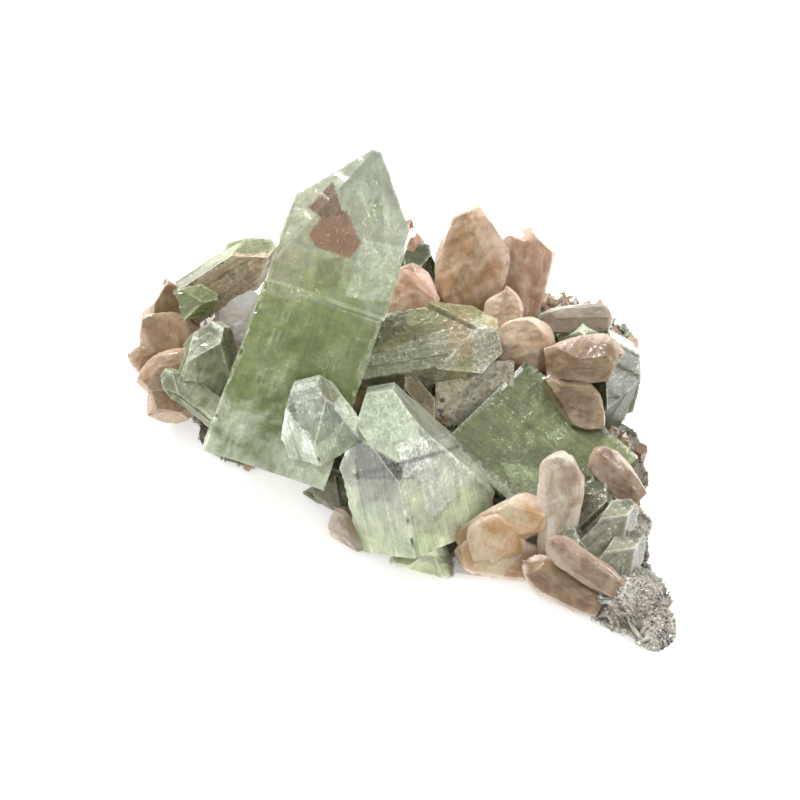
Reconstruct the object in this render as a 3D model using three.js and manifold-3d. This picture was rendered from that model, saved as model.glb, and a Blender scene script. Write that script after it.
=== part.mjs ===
// A hand-sized mineral specimen: green apophyllite crystals and peach stilbite sheaves
// grown together on a lumpy piece of drusy basalt, which lies on its flat sawn underside.
// Units are millimetres, +Z is up, and the origin is under the middle of the specimen.
import * as THREE from 'three';
import { mergeVertices } from 'three/addons/utils/BufferGeometryUtils.js';
import Module from 'manifold-3d';

const wasm = await Module();
wasm.setup();

// ---------------------------------------------------------------- driving dimensions
const SEAT_GAP = 0.3;          // clearance between a crystal and what it is seated in
const CRYSTAL_FOOT = 0.9;      // lowest level that any crystal's root reaches
const PYRAMID_DIP = 60.4;      // degrees between an apophyllite pyramid face and its base
const GROWTH_STEP = 0.28;      // height of the raised plates along a prism face
const PLATED_FROM = 3.5;       // half width from which a prism carries those plates
const FAR = 120;               // longer than the specimen, for the blocks that cut it flat
const UP = new THREE.Vector3(0, 0, 1);

// Apophyllite: square prisms whose four pyramid faces stand over the prism edges.
// tip: where the pyramid faces would meet; lean: degrees from upright, towards the compass
// direction toward; turn: how far the crystal is turned about its own axis before it leans.
// across: prism widths; off: prism centre measured from the tip; cap: depth of the flat end
// below the tip; flare: how much wider the prism is at its foot, as a share; steep: dip of one
// more face that cuts the front of the tip.
const APOPHYLLITES = [
  { name: 'tall_apophyllite', tip: [-2.7, 6.8, 42.5], lean: 34, toward: 54, turn: -98,
    across: [13.0, 15.2], length: 44.6, cap: 0.8, flare: 0.12, steep: 71, color: '#a9b98a' },
  { name: 'front_apophyllite', tip: [-3.2, -11.9, 21.0], lean: 37, toward: 109, turn: -134,
    across: [16.0, 11.8], off: [-2.8, 0.5], length: 24.2, cap: 3.0, flare: -0.05, color: '#c4d0ae' },
  { name: 'broad_apophyllite', tip: [0.1, 4.3, 9.1], lean: 78, toward: 138, turn: -53,
    across: [9.0, 16.6], off: [0, -1.0], length: 36, cap: 16.2, color: '#93a36c' },
  { name: 'small_clear_apophyllite', tip: [-13.0, -13.8, 24.0], lean: 33, toward: 122, turn: -49,
    across: [7.8, 7.8], length: 12.5, cap: 3.0, color: '#bcc6ac' },
  { name: 'centre_apophyllite', tip: [16.1, -0.9, 15.0], lean: 80, toward: 4, turn: -156,
    across: [8.6, 9.6], length: 22, cap: 3.0, color: '#9aa37e' },
  { name: 'pale_apophyllite', tip: [8.6, -15.7, 18.9], lean: 42, toward: 262, turn: -2,
    across: [10.4, 9.4], length: 22, cap: 13.4, color: '#b3ad95' },
  { name: 'rear_left_apophyllite', tip: [-15.6, 12.9, 18.0], lean: 65, toward: 23, turn: -95,
    across: [4.6, 6.2], length: 16, cap: 1.2, color: '#b5bd9f' },
  { name: 'left_upper_apophyllite', tip: [-22.9, 2.6, 14.7], lean: 40, toward: 51, turn: -84,
    across: [5.4, 6.4], length: 13, cap: 1.6, color: '#bdc0ae' },
  { name: 'left_lower_apophyllite', tip: [-32.2, -2.1, 9.4], lean: 67, toward: 149, turn: -44,
    across: [3.6, 3.8], length: 13, cap: 1.0, color: '#b9c0a8' },
  { name: 'green_chip_apophyllite', tip: [-23.4, 5.4, 14.6], lean: 83, toward: 1, turn: -129,
    across: [4.2, 4.2], length: 5.8, cap: 0.8, color: '#93a862' },
  { name: 'rear_dark_apophyllite', tip: [3.2, 17.4, 16.6], lean: 36, toward: 70, turn: -57,
    across: [6.0, 6.0], length: 15, cap: 2.6, color: '#6f7b58' },
  { name: 'right_edge_apophyllite', tip: [31.5, 1.2, 15.5], lean: 44, toward: 41, turn: -134,
    across: [8.0, 12.6], off: [0, -1.1], length: 15, cap: 3.8, color: '#a9b792' },
  { name: 'lower_right_apophyllite', tip: [31.0, -23.5, 8.5], lean: 63, toward: 37, turn: -102,
    across: [4.6, 4.6], length: 13, cap: 1.0, color: '#a3ad8c' },
  { name: 'low_green_apophyllite', tip: [-12.3, -14.1, 6.0], lean: 55, toward: 149, turn: -45,
    across: [6.0, 7.0], length: 8, cap: 1.4, color: '#7f8f5e' },
  { name: 'under_front_apophyllite', tip: [4.5, -24.5, 5.1], lean: 52, toward: 71, turn: -87,
    across: [6.0, 8.4], length: 7, cap: 1.4, color: '#a5b184' },
  { name: 'small_green_apophyllite', tip: [22.1, -27.0, 8.3], lean: 35, toward: 90, turn: -60,
    across: [3.8, 4.2], length: 7, cap: 1.0, color: '#98a374' },
  { name: 'olive_apophyllite', tip: [26.5, -19.6, 10.1], lean: 36, toward: 73, turn: -76,
    across: [6.0, 6.4], length: 9, cap: 1.4, color: '#7c7f5c' },
  { name: 'brown_middle_apophyllite', tip: [0.7, -5.1, 13.4], lean: 46, toward: 93, turn: -92,
    across: [5.0, 7.4], length: 10, cap: 1.6, color: '#857a58' },
  { name: 'edge_clear_apophyllite', tip: [31.9, -27.3, 6.5], lean: 63, toward: 37, turn: -102,
    across: [4.6, 5.0], length: 10, cap: 0.8, color: '#b4b8a4' },
];

// Stilbite: almond-shaped blades, single or grown as a fan. width is across the broad face,
// depth is through it, and point is how far below the tip a blade reaches its full width.
const STILBITES = [
  { name: 'rear_tall_stilbite', color: '#c99678', blades: [
    { tip: [10.4, 15.8, 22.0], lean: 30, toward: 83, turn: -100,
      width: 10.4, depth: 5.6, length: 19, point: 7 },
  ] },
  { name: 'rear_right_stilbite', color: '#cb9a7e', blades: [
    { tip: [17.5, 14.7, 18.5], lean: 36, toward: 70, turn: -85,
      width: 8.0, depth: 4.8, length: 17, point: 3 },
  ] },
  { name: 'rear_middle_stilbite', color: '#c69679', blades: [
    { tip: [1.6, 17.5, 17.0], lean: 40, toward: 84, turn: -92,
      width: 6.4, depth: 4.2, length: 14, point: 4 },
  ] },
  { name: 'behind_tall_stilbite', color: '#b98163', blades: [
    { tip: [-9.2, 19.3, 22.0], lean: 35, toward: 90, turn: -90,
      width: 5.4, depth: 4.0, length: 20, point: 5 },
    { tip: [-7.2, 17.7, 19.0], lean: 36, toward: 73, turn: -96,
      width: 8.0, depth: 4.6, length: 17, point: 5 },
  ] },
  { name: 'upper_middle_stilbite', color: '#c0917a', blades: [
    { tip: [17.2, 1.3, 15.5], lean: 26, toward: 73, turn: -95,
      width: 7.4, depth: 5.4, length: 13, point: 2.6 },
  ] },
  { name: 'small_middle_stilbite', color: '#c39a86', blades: [
    { tip: [14.1, 6.2, 16.0], lean: 30, toward: 81, turn: -93,
      width: 5.2, depth: 4.0, length: 11, point: 3 },
  ] },
  { name: 'right_round_stilbite', color: '#bd907a', blades: [
    { tip: [29.6, -4.2, 14.2], lean: 82, toward: 2, turn: -138,
      width: 6.4, depth: 6.4, length: 10.5, point: 2.6 },
  ] },
  { name: 'right_low_stilbite', color: '#b8917c', blades: [
    { tip: [26.8, -11.6, 8.2], lean: 112, toward: -38, turn: 171,
      width: 6.2, depth: 5.0, length: 10, point: 5 },
  ] },
  { name: 'right_blade_stilbite', color: '#a48d6d', blades: [
    { tip: [28.3, 2.5, 13.8], lean: 88, toward: 0, turn: -138,
      width: 4.2, depth: 3.4, length: 10, point: 1.6 },
  ] },
  { name: 'upright_stilbite', foremost: true, color: '#c9a286', blades: [
    { tip: [21.1, -20.7, 14.5], lean: 36, toward: 82, turn: -93,
      width: 6.0, depth: 4.2, length: 14, point: 2.4 },
  ] },
  { name: 'edge_stilbite', foremost: true, color: '#c3a791', blades: [
    { tip: [25.0, -18.3, 12.0], lean: 55, toward: 144, turn: -67,
      width: 4.6, depth: 3.0, length: 9, point: 2 },
  ] },
  { name: 'front_sheaf_stilbite', color: '#c69a76', blades: [
    { tip: [19.2, -24.9, 8.0], lean: 63, toward: 9, turn: -129,
      width: 6.4, depth: 5.4, length: 13, point: 3 },
    { tip: [13.5, -25.4, 7.8], lean: 36, toward: 73, turn: -96,
      width: 8.4, depth: 5.2, length: 8.6, point: 3 },
    { tip: [7.1, -28.2, 3.4], lean: 80, toward: 176, turn: -44,
      width: 5.6, depth: 5.0, length: 13, point: 3 },
  ] },
  { name: 'long_blade_stilbite', color: '#c49480', blades: [
    { tip: [18.7, -30.5, 8.5], lean: 62, toward: 157, turn: -60,
      width: 3.8, depth: 3.4, length: 14, point: 2.4 },
  ] },
  { name: 'low_front_stilbite', color: '#c79f85', blades: [
    { tip: [15.7, -30.2, 3.9], lean: 76, toward: 152, turn: -62,
      width: 5.4, depth: 4.4, length: 12, point: 4 },
  ] },
  { name: 'under_left_stilbite', color: '#cba995', blades: [
    { tip: [-8.5, -21.6, 3.8], lean: 49, toward: 138, turn: -71,
      width: 7.0, depth: 4.6, length: 11, point: 4 },
  ] },
  { name: 'shaded_middle_stilbite', color: '#8d7450', blades: [
    { tip: [-4.5, -3.8, 11.5], lean: 30, toward: 99, turn: -87,
      width: 5.6, depth: 4.0, length: 8, point: 3 },
  ] },
  { name: 'rear_low_stilbite', color: '#b08a70', blades: [
    { tip: [1.6, 10.4, 16.0], lean: 48, toward: 90, turn: -90,
      width: 7.4, depth: 4.4, length: 10, point: 3 },
  ] },
  { name: 'white_left_stilbite', color: '#d8cdc4', blades: [
    { tip: [-21.9, 9.3, 13.5], lean: 40, toward: 82, turn: -93,
      width: 5.4, depth: 3.6, length: 10, point: 2 },
  ] },
  { name: 'left_fan_stilbite', color: '#c19a7d', blades: [
    { tip: [-31.4, 9.6, 14.0], lean: 42, toward: 94, turn: -88,
      width: 8.4, depth: 5.6, length: 16, point: 5 },
    { tip: [-36.6, 1.3, 8.0], lean: 83, toward: 179, turn: -41,
      width: 7.6, depth: 5.4, length: 15, point: 4 },
    { tip: [-34.4, 5.0, 11.5], lean: 58, toward: 150, turn: -64,
      width: 8.0, depth: 5.0, length: 16, point: 5 },
    { tip: [-33.6, -5.8, 3.6], lean: 112, toward: -152, turn: -6,
      width: 7.0, depth: 5.0, length: 13, point: 4 },
    { tip: [-35.2, -2.0, 6.4], lean: 99, toward: -175, turn: -35,
      width: 6.4, depth: 4.6, length: 13, point: 4 },
  ] },
];

// The matrix: overlapping lumps of altered basalt with a crust of tiny crystals.
const MATRIX_COLOR = '#b9b2a8';
const LUMP_ROUGHNESS = 0.09;   // relief on a lump as a share of its radius
const BIG_LUMP = 8;            // radius from which a lump gets finer facets
const MATRIX_LUMPS = [
  { at: [2, -5, 1.5], radii: [18, 11, 7.0] },
  { at: [-20, 1, 1.5], radii: [10, 7, 6.5] },
  { at: [-19, 8, 1.5], radii: [10, 6, 8.0] },
  { at: [6, 7, 2.0], radii: [16, 7, 7.5] },
  { at: [20, 6.5, 2.0], radii: [10.5, 7.5, 7.5] },
  { at: [20, -3, 2.0], radii: [9.5, 8.5, 7.0] },
  { at: [3, -19, 0.8], radii: [11, 8, 2.6] },
  { at: [20, -19, 1.0], radii: [9.5, 11, 4.2] },
  { at: [25.5, -29.6, 0.5], radii: [5.4, 6.4, 4.4] },
  { at: [29.4, -34, 0.4], radii: [4.8, 5.2, 4.4] },
  { at: [32.6, -38.6, 0.3], radii: [2.8, 4.0, 3.0] },
  { at: [30.2, -24, 0.5], radii: [1.8, 5, 3.6] },
  { at: [-17, -7, 0.8], radii: [9.5, 4.4, 3.2] },
  { at: [27.5, -13, 1.0], radii: [4, 8, 5.0] },
];

// ---------------------------------------------------------------- solids
/** A closed three.js geometry as a solid, with its shared corners merged. */
function toSolid(geometry) {
  const bare = geometry.index ? geometry.toNonIndexed() : geometry.clone();
  bare.deleteAttribute('normal');
  bare.deleteAttribute('uv');
  const merged = mergeVertices(bare, 1e-5);
  return new wasm.Manifold(new wasm.Mesh({
    numProp: 3,
    vertProperties: new Float32Array(merged.attributes.position.array),
    triVerts: new Uint32Array(merged.index.array),
  }));
}

/** A solid's triangles as a flat-shaded three.js geometry, moved by a matrix. */
function toGeometry(solid, matrix) {
  const mesh = solid.getMesh();
  const geometry = new THREE.BufferGeometry();
  geometry.setAttribute('position', new THREE.BufferAttribute(new Float32Array(mesh.vertProperties), 3));
  geometry.setIndex(new THREE.BufferAttribute(new Uint32Array(mesh.triVerts), 1));
  geometry.applyMatrix4(matrix);
  geometry.computeVertexNormals();
  return geometry;
}

/** The biggest connected body of a solid: a cut can leave loose crumbs beside it. */
function withoutCrumbs(solid) {
  const bodies = solid.decompose();
  return bodies.reduce((best, body) => (body.volume() > best.volume() ? body : best), bodies[0]);
}

/** A big block filling the half of space that a plane's normal points away from. */
function halfSpace(normal, point) {
  const block = new THREE.BoxGeometry(2 * FAR, 2 * FAR, 2 * FAR);
  block.translate(0, 0, -FAR);
  block.applyQuaternion(new THREE.Quaternion().setFromUnitVectors(UP, normal));
  block.translate(point.x, point.y, point.z);
  return toSolid(block);
}

const ABOVE_FOOT = halfSpace(new THREE.Vector3(0, 0, -1), new THREE.Vector3(0, 0, CRYSTAL_FOOT));
const ABOVE_SEAT = halfSpace(new THREE.Vector3(0, 0, -1), new THREE.Vector3(0, 0, CRYSTAL_FOOT - SEAT_GAP));
const ABOVE_REST = halfSpace(new THREE.Vector3(0, 0, -1), new THREE.Vector3(0, 0, 0));

/** Where a crystal stands: its tip at the origin and its axis along +Z, leaned and turned. */
function placement({ tip, lean, toward, turn }) {
  const azimuth = THREE.MathUtils.degToRad(toward);
  const tilt = new THREE.Quaternion().setFromAxisAngle(
    new THREE.Vector3(-Math.sin(azimuth), Math.cos(azimuth), 0), THREE.MathUtils.degToRad(lean));
  const spin = new THREE.Quaternion().setFromAxisAngle(UP, THREE.MathUtils.degToRad(turn));
  return new THREE.Matrix4().compose(
    new THREE.Vector3(...tip), tilt.multiply(spin), new THREE.Vector3(1, 1, 1));
}

/** Outline of a prism with a raised growth plate on each side, plates set by fractions. */
function steppedOutline(halfX, halfY) {
  if (Math.min(halfX, halfY) < PLATED_FROM) {
    return new THREE.Shape([[1, -1], [1, 1], [-1, 1], [-1, -1]].map(
      ([x, y]) => new THREE.Vector2(x * halfX, y * halfY)));
  }
  const plates = [[-0.62, 0.34], [-0.4, 0.7], [-0.7, 0.12], [-0.2, 0.66]];
  const points = [];
  for (let side = 0; side < 4; side += 1) {
    const out = side % 2 ? halfY : halfX;
    const along = side % 2 ? halfX : halfY;
    const turned = (u, v) => new THREE.Vector2(u, v).rotateAround(new THREE.Vector2(), side * Math.PI / 2);
    const [from, to] = plates[side];
    points.push(turned(out - GROWTH_STEP, from * along));
    points.push(turned(out, from * along + GROWTH_STEP));
    points.push(turned(out, to * along));
    points.push(turned(out - GROWTH_STEP, to * along + GROWTH_STEP));
    points.push(turned(out - GROWTH_STEP, along - GROWTH_STEP));
  }
  return new THREE.Shape(points);
}

/** One apophyllite in its own frame: stepped prism, four pyramid faces and a flat end. */
function apophylliteSolid({ across, off = [0, 0], length, cap, flare = 0, steep }, grow) {
  const outline = steppedOutline(across[0] / 2 + grow, across[1] / 2 + grow);
  const prism = new THREE.ExtrudeGeometry(outline, { depth: length + grow, bevelEnabled: false });
  prism.translate(off[0], off[1], -length - grow);
  const position = prism.attributes.position;
  for (let i = 0; i < position.count; i += 1) {
    const wider = 1 - flare * Math.min(position.getZ(i), 0) / length;
    position.setXYZ(i, position.getX(i) * wider, position.getY(i) * wider, position.getZ(i));
  }
  let solid = toSolid(prism);
  const faces = [45, 135, 225, 315].map((azimuth) => [azimuth, PYRAMID_DIP]);
  if (steep) faces.push([0, steep]);
  for (const [azimuth, dip] of faces) {
    const normal = new THREE.Vector3().setFromSphericalCoords(
      1, THREE.MathUtils.degToRad(dip), THREE.MathUtils.degToRad(azimuth));
    normal.set(normal.z, normal.x, normal.y);
    solid = solid.intersect(halfSpace(normal, normal.clone().multiplyScalar(grow)));
  }
  return solid.intersect(halfSpace(UP, new THREE.Vector3(0, 0, grow - cap)));
}

/** Almond outline of a blade, tip at the origin, narrowing again towards its foot. */
function almond(width, length, point) {
  const half = width / 2;
  const foot = 0.68 * half;
  const shape = new THREE.Shape();
  shape.moveTo(-foot, -length);
  shape.lineTo(foot, -length);
  shape.quadraticCurveTo(half * 1.04, -0.62 * length, half, -point);
  shape.quadraticCurveTo(half * 0.82, -0.35 * point, 0, 0);
  shape.quadraticCurveTo(-half * 0.82, -0.35 * point, -half, -point);
  shape.quadraticCurveTo(-half * 1.04, -0.62 * length, -foot, -length);
  return shape;
}

/** One stilbite blade in its own frame: its front outline crossed with its side outline. */
function bladeSolid({ width, depth, length, point }, grow) {
  const curveSegments = 4;
  const wide = width + 2 * grow;
  const deep = depth + 2 * grow;
  const front = new THREE.ExtrudeGeometry(
    almond(wide, length + 2 * grow, point), { depth: 2 * deep, bevelEnabled: false, curveSegments });
  front.translate(0, 0, -deep);
  front.rotateX(Math.PI / 2);
  front.rotateZ(Math.PI / 2);
  front.translate(0, 0, grow);
  const side = new THREE.ExtrudeGeometry(
    almond(deep, length + 2 * grow, 0.7 * point), { depth: 2 * wide, bevelEnabled: false, curveSegments });
  side.translate(0, 0, -wide);
  side.rotateX(Math.PI / 2);
  side.translate(0, 0, grow);
  return toSolid(front).intersect(toSolid(side));
}

/** A rounded lump of rock whose surface is uneven by a sum of slow waves. */
function lumpSolid({ at, radii }) {
  const geometry = new THREE.IcosahedronGeometry(1, radii[0] > BIG_LUMP ? 3 : 2);
  const position = geometry.attributes.position;
  const p = new THREE.Vector3();
  for (let i = 0; i < position.count; i += 1) {
    p.fromBufferAttribute(position, i);
    const wave = Math.sin(4.1 * p.x + at[0]) * Math.cos(3.7 * p.y + at[1])
      + 0.6 * Math.sin(7.3 * p.y + at[0]) * Math.sin(6.1 * p.z + at[1])
      + 0.5 * Math.cos(9.7 * p.x - 8.3 * p.z);
    p.multiplyScalar(1 + LUMP_ROUGHNESS * wave);
    position.setXYZ(i, p.x * radii[0] + at[0], p.y * radii[1] + at[1], p.z * radii[2] + at[2]);
  }
  return toSolid(geometry);
}

// ---------------------------------------------------------------- pieces
/** A piece's own solid, and the same a seat gap bigger, which cuts its neighbours. */
function piece({ name, color, foremost, blades, ...crystal }, roughness) {
  const parts = blades ?? [crystal];
  const build = blades ? bladeSolid : apophylliteSolid;
  const grown = (grow) => parts
    .map((part) => build(part, grow).transform(placement(part).elements))
    .reduce((sum, next) => sum.add(next));
  return {
    name,
    color,
    roughness,
    frame: placement(parts[0]),
    solid: grown(0).intersect(ABOVE_FOOT),
    cutter: grown(SEAT_GAP).intersect(ABOVE_SEAT),
  };
}

const crystals = [
  ...STILBITES.filter((row) => row.foremost).map((row) => piece(row, 0.45)),
  ...APOPHYLLITES.map((row) => piece(row, 0.12)),
  ...STILBITES.filter((row) => !row.foremost).map((row) => piece(row, 0.45)),
];

// Each crystal gives way to the ones before it, and the matrix gives way to them all.
crystals.forEach((crystal, i) => {
  for (const earlier of crystals.slice(0, i)) crystal.solid = crystal.solid.subtract(earlier.cutter);
  crystal.solid = withoutCrumbs(crystal.solid);
});
const rock = MATRIX_LUMPS.map(lumpSolid).reduce((sum, lump) => sum.add(lump)).intersect(ABOVE_REST);
const matrix = {
  name: 'matrix',
  color: MATRIX_COLOR,
  roughness: 0.85,
  frame: new THREE.Matrix4(),
  solid: withoutCrumbs(
    crystals.reduce((left, crystal) => left.subtract(crystal.cutter), withoutCrumbs(rock))),
};

// ---------------------------------------------------------------- scene graph
/** A named mesh placed by its own position and rotation. */
function toMesh({ name, color, roughness, frame, solid }) {
  const material = new THREE.MeshStandardMaterial({ color, roughness, metalness: 0 });
  const mesh = new THREE.Mesh(toGeometry(solid, frame.clone().invert()), material);
  mesh.name = name;
  frame.decompose(mesh.position, mesh.quaternion, mesh.scale);
  return mesh;
}

const group = new THREE.Group();
group.add(...[matrix, ...crystals].map(toMesh));
group.updateMatrixWorld(true);
const box = new THREE.Box3().setFromObject(group, true);
const middle = box.getCenter(new THREE.Vector3());
group.position.set(-middle.x, -middle.y, -box.min.z);

export default group;
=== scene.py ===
import math

import bpy
import numpy as np
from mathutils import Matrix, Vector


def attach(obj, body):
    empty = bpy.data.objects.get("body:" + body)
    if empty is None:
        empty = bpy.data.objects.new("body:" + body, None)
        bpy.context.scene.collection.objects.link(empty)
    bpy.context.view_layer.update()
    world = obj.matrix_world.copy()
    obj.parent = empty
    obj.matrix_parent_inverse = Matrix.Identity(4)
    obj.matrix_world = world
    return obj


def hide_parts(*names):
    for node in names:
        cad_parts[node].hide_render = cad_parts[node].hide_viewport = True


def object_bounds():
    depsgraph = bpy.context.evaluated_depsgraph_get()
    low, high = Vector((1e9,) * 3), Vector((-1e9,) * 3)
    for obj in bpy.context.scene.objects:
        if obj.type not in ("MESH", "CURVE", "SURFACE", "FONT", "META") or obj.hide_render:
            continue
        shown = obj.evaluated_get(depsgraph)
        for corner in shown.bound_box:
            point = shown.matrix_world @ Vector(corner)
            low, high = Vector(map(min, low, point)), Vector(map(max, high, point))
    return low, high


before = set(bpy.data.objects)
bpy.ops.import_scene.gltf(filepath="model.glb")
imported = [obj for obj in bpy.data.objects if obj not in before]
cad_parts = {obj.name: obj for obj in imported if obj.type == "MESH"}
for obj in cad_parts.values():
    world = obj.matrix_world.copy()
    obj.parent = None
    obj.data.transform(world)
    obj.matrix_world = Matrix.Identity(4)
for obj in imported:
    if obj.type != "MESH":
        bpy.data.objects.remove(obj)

solid_box = np.array(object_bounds())


# ---- the rock
# The lump of altered basalt that everything grows from: low overlapping swellings on a flat
# underside, pale grey, rough, and sugared all over with crystals too small to make out.
METRE = 1000  # mm
ZERO = np.array([0.624, 11.437, 0])  # mm, from the drawing's zero to the specimen's
SWELLINGS = np.array([  # mm: centre x, y, z and half sizes
    [2, -5, 1.5, 18, 11, 7],
    [-20, 1, 1.5, 10, 7, 6.5],
    [-19, 8, 1.5, 10, 6, 8],
    [6, 7, 2, 16, 7, 7.5],
    [20, 6.5, 2, 10.5, 7.5, 7.5],
    [20, -3, 2, 9.5, 8.5, 7],
    [3, -19, 0.8, 11, 8, 2.6],
    [20, -19, 1, 9.5, 11, 4.2],
    [25.5, -29.6, 0.5, 5.4, 6.4, 4.4],
    [29.4, -34, 0.4, 4.8, 5.2, 4.4],
    [32.6, -38.6, 0.3, 2.3, 3.4, 3],
    [30.2, -24, 0.5, 1.8, 5, 3.6],
    [-17, -7, 0.8, 9.5, 4.4, 3.2],
    [27.5, -13, 1, 4, 8, 5],
])
ROCK_MIDDLE = np.array([4, -6])
ROCK_AROUND, ROCK_ROWS = 620, 132
WALL_ROWS = 8
ROCK_WAVE, ROCK_ROUGH = 6, 0.2  # mm: the relief's longest wave and its height
ROCK_SUNK = 0.75  # mm, the relief's level below the drawn swellings
SMOOTH_BELOW = 1.5  # mm above the floor, where the relief starts to fade


def ripple(points, longest, height, seed):
    """Uneven relief: sine waves in random directions, four of a length and height, then four
    half as long and half as high, and so on for four sizes."""
    chance = np.random.default_rng(seed)
    relief = np.zeros(points.shape[:-1])
    for size in range(4):
        for _ in range(4):
            way = chance.normal(size=3)
            way *= 2 * np.pi * 2 ** size / longest / np.linalg.norm(way)
            relief += height / 2 ** size * np.sin(points @ way + chance.uniform(0, 2 * np.pi))
    return relief


def outward(grid):
    """Unit normals of a grid of points whose rows run from top to foot and whose columns run
    anticlockwise: the step down crossed with the step round."""
    round_step = np.roll(grid, -1, 1) - np.roll(grid, 1, 1)
    down_step = np.gradient(grid, axis=0)
    normal = np.cross(down_step, round_step)
    return normal / (np.linalg.norm(normal, axis=-1, keepdims=True) + 1e-9)


def shown(name, data):
    """An object for a mesh, a lamp or a camera, put in the scene."""
    made = bpy.data.objects.new(name, data)
    bpy.context.scene.collection.objects.link(made)
    return made


def placed(name, mesh, finish):
    """A mesh in its finish, shown and fixed to the one body."""
    mesh.materials.append(finish)
    made = shown(name, mesh)
    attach(made, "root")
    return made


def closed_skin(name, grids, finish, sharp=None, drawn=None):
    """One object from closed grids in mm: quads between rows, and a fan over the first row and
    the last. Where a crystal is drawn in its own frame first, each point keeps that place in the
    attribute lattice, and in rim how near it is to an edge, from 0 to 1."""
    points, faces, marks, start = [], [], [], 0
    for grid, mark in zip(grids, drawn or grids):
        rows, around = grid.shape[:2]
        i = np.arange(rows - 1)[:, None] * around
        j = np.arange(around)[None, :]
        here, beside = i + j, i + (j + 1) % around
        quads = np.stack([here, here + around, beside + around, beside], -1).reshape(-1, 4)
        ring = np.arange(around)
        top, foot = rows * around, rows * around + 1
        last = (rows - 1) * around
        cap = np.stack([np.full(around, top), ring, (ring + 1) % around], -1)
        base = np.stack([np.full(around, foot), last + (ring + 1) % around, last + ring], -1)
        faces += (quads + start).tolist() + (cap + start).tolist() + (base + start).tolist()
        for kept, made in ((points, grid), (marks, mark)):
            ends = made[[0, -1]].mean(1)
            kept += [made.reshape(-1, made.shape[-1]), ends]
        start += rows * around + 2
    mesh = bpy.data.meshes.new(name)
    mesh.from_pydata((np.concatenate(points) / METRE).tolist(), [], faces)
    marks = np.concatenate(marks).astype(np.float32)
    lattice = mesh.attributes.new("lattice", "FLOAT_VECTOR", "POINT")
    lattice.data.foreach_set("vector", marks[:, :3].ravel())
    if marks.shape[1] > 3:
        mesh.attributes.new("rim", "FLOAT", "POINT").data.foreach_set("value", marks[:, 3])
    mesh.polygons.foreach_set("use_smooth", np.ones(len(faces), bool))
    if sharp:
        mesh.set_sharp_from_angle(angle=math.radians(sharp))
    return placed(name, mesh, finish)


def paint(code):
    """A colour written as six hex digits, as linear red, green, blue and full cover."""
    parts = [int(code[k:k + 2], 16) / 255 for k in (0, 2, 4)]
    return [((c + 0.055) / 1.055) ** 2.4 if c > 0.04045 else c / 12.92 for c in parts] + [1]


def feed(tree, node, inputs):
    """Give a node's sockets, by name or number, each a value or another node's output."""
    for socket, value in dict(inputs).items():
        if isinstance(value, bpy.types.NodeSocket):
            tree.links.new(value, node.inputs[socket])
        else:
            node.inputs[socket].default_value = value


def add_node(tree, kind, inputs=(), **settings):
    """One shading node, with what its sockets are given and with its own settings."""
    made = tree.nodes.new("ShaderNode" + kind)
    for option, value in settings.items():
        setattr(made, option, value)
    feed(tree, made, inputs)
    return made


def new_finish(name):
    """A material with its tree, its shader and its output ready to be joined."""
    finish = bpy.data.materials.new(name)
    finish.use_nodes = True
    tree = finish.node_tree
    shader = next(n for n in tree.nodes if n.type == "BSDF_PRINCIPLED")
    output = next(n for n in tree.nodes if n.type == "OUTPUT_MATERIAL")
    return finish, tree, shader, output


def ramp(tree, value, low, high, to_low=0, to_high=1):
    """A value carried from one range to another along an S curve that stays between the ends."""
    return add_node(tree, "MapRange", {0: value, 1: low, 2: high, 3: to_low, 4: to_high},
                    interpolation_type="SMOOTHSTEP").outputs[0]


def blend(tree, share, first, second, how="MIX"):
    """Two colours mixed by a share, each written as hex digits or taken from a node."""
    first, second = (paint(end) if isinstance(end, str) else end for end in (first, second))
    return add_node(tree, "Mix", {0: share, 6: first, 7: second}, data_type="RGBA",
                    blend_type=how).outputs[2]


def noise(tree, place, scale, detail=4, rough=0.6, warp=0):
    """Random cloudiness at a place: cells to a unit, finer and finer octaves, and how warped."""
    return add_node(tree, "TexNoise", {"Vector": place, "Scale": scale, "Detail": detail,
                                       "Roughness": rough, "Distortion": warp}).outputs["Fac"]


def relief(tree, *layers):
    """Normal of bumps laid on one another, each a height, a strength and a reach in metres."""
    normal = None
    for height, strength, reach in layers:
        below = {"Normal": normal} if normal else {}
        normal = add_node(tree, "Bump", {"Height": height, "Strength": strength, "Distance": reach,
                                         **below}).outputs[0]
    return normal


def rock_finish(name, pale, dark, speck):
    """Sugary rock: pale and dark patches, scattered dark specks, and a grainy bump."""
    finish, tree, shader, _ = new_finish(name)
    place = add_node(tree, "TexCoord").outputs["Object"]
    patches = noise(tree, place, 160, 6, 0.65)
    grains = add_node(tree, "TexVoronoi", {"Vector": place, "Scale": 2600}).outputs["Distance"]
    ground = blend(tree, ramp(tree, patches, 0.36, 0.62), dark, pale)
    spotted = ramp(tree, noise(tree, place, 900, 2), 0.7, 0.78)
    fine = noise(tree, place, 1500, 5, 0.7)
    feed(tree, shader, {
        "Base Color": blend(tree, spotted, ground, speck),
        "Roughness": ramp(tree, grains, 0, 0.6, 0.35, 0.8),
        "Normal": relief(tree, (grains, 0.6, 0.00012), (fine, 0.6, 0.0003)),
        "Subsurface Weight": 0.3, "Subsurface Radius": (0.0012, 0.001, 0.0008)})
    return finish


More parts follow.
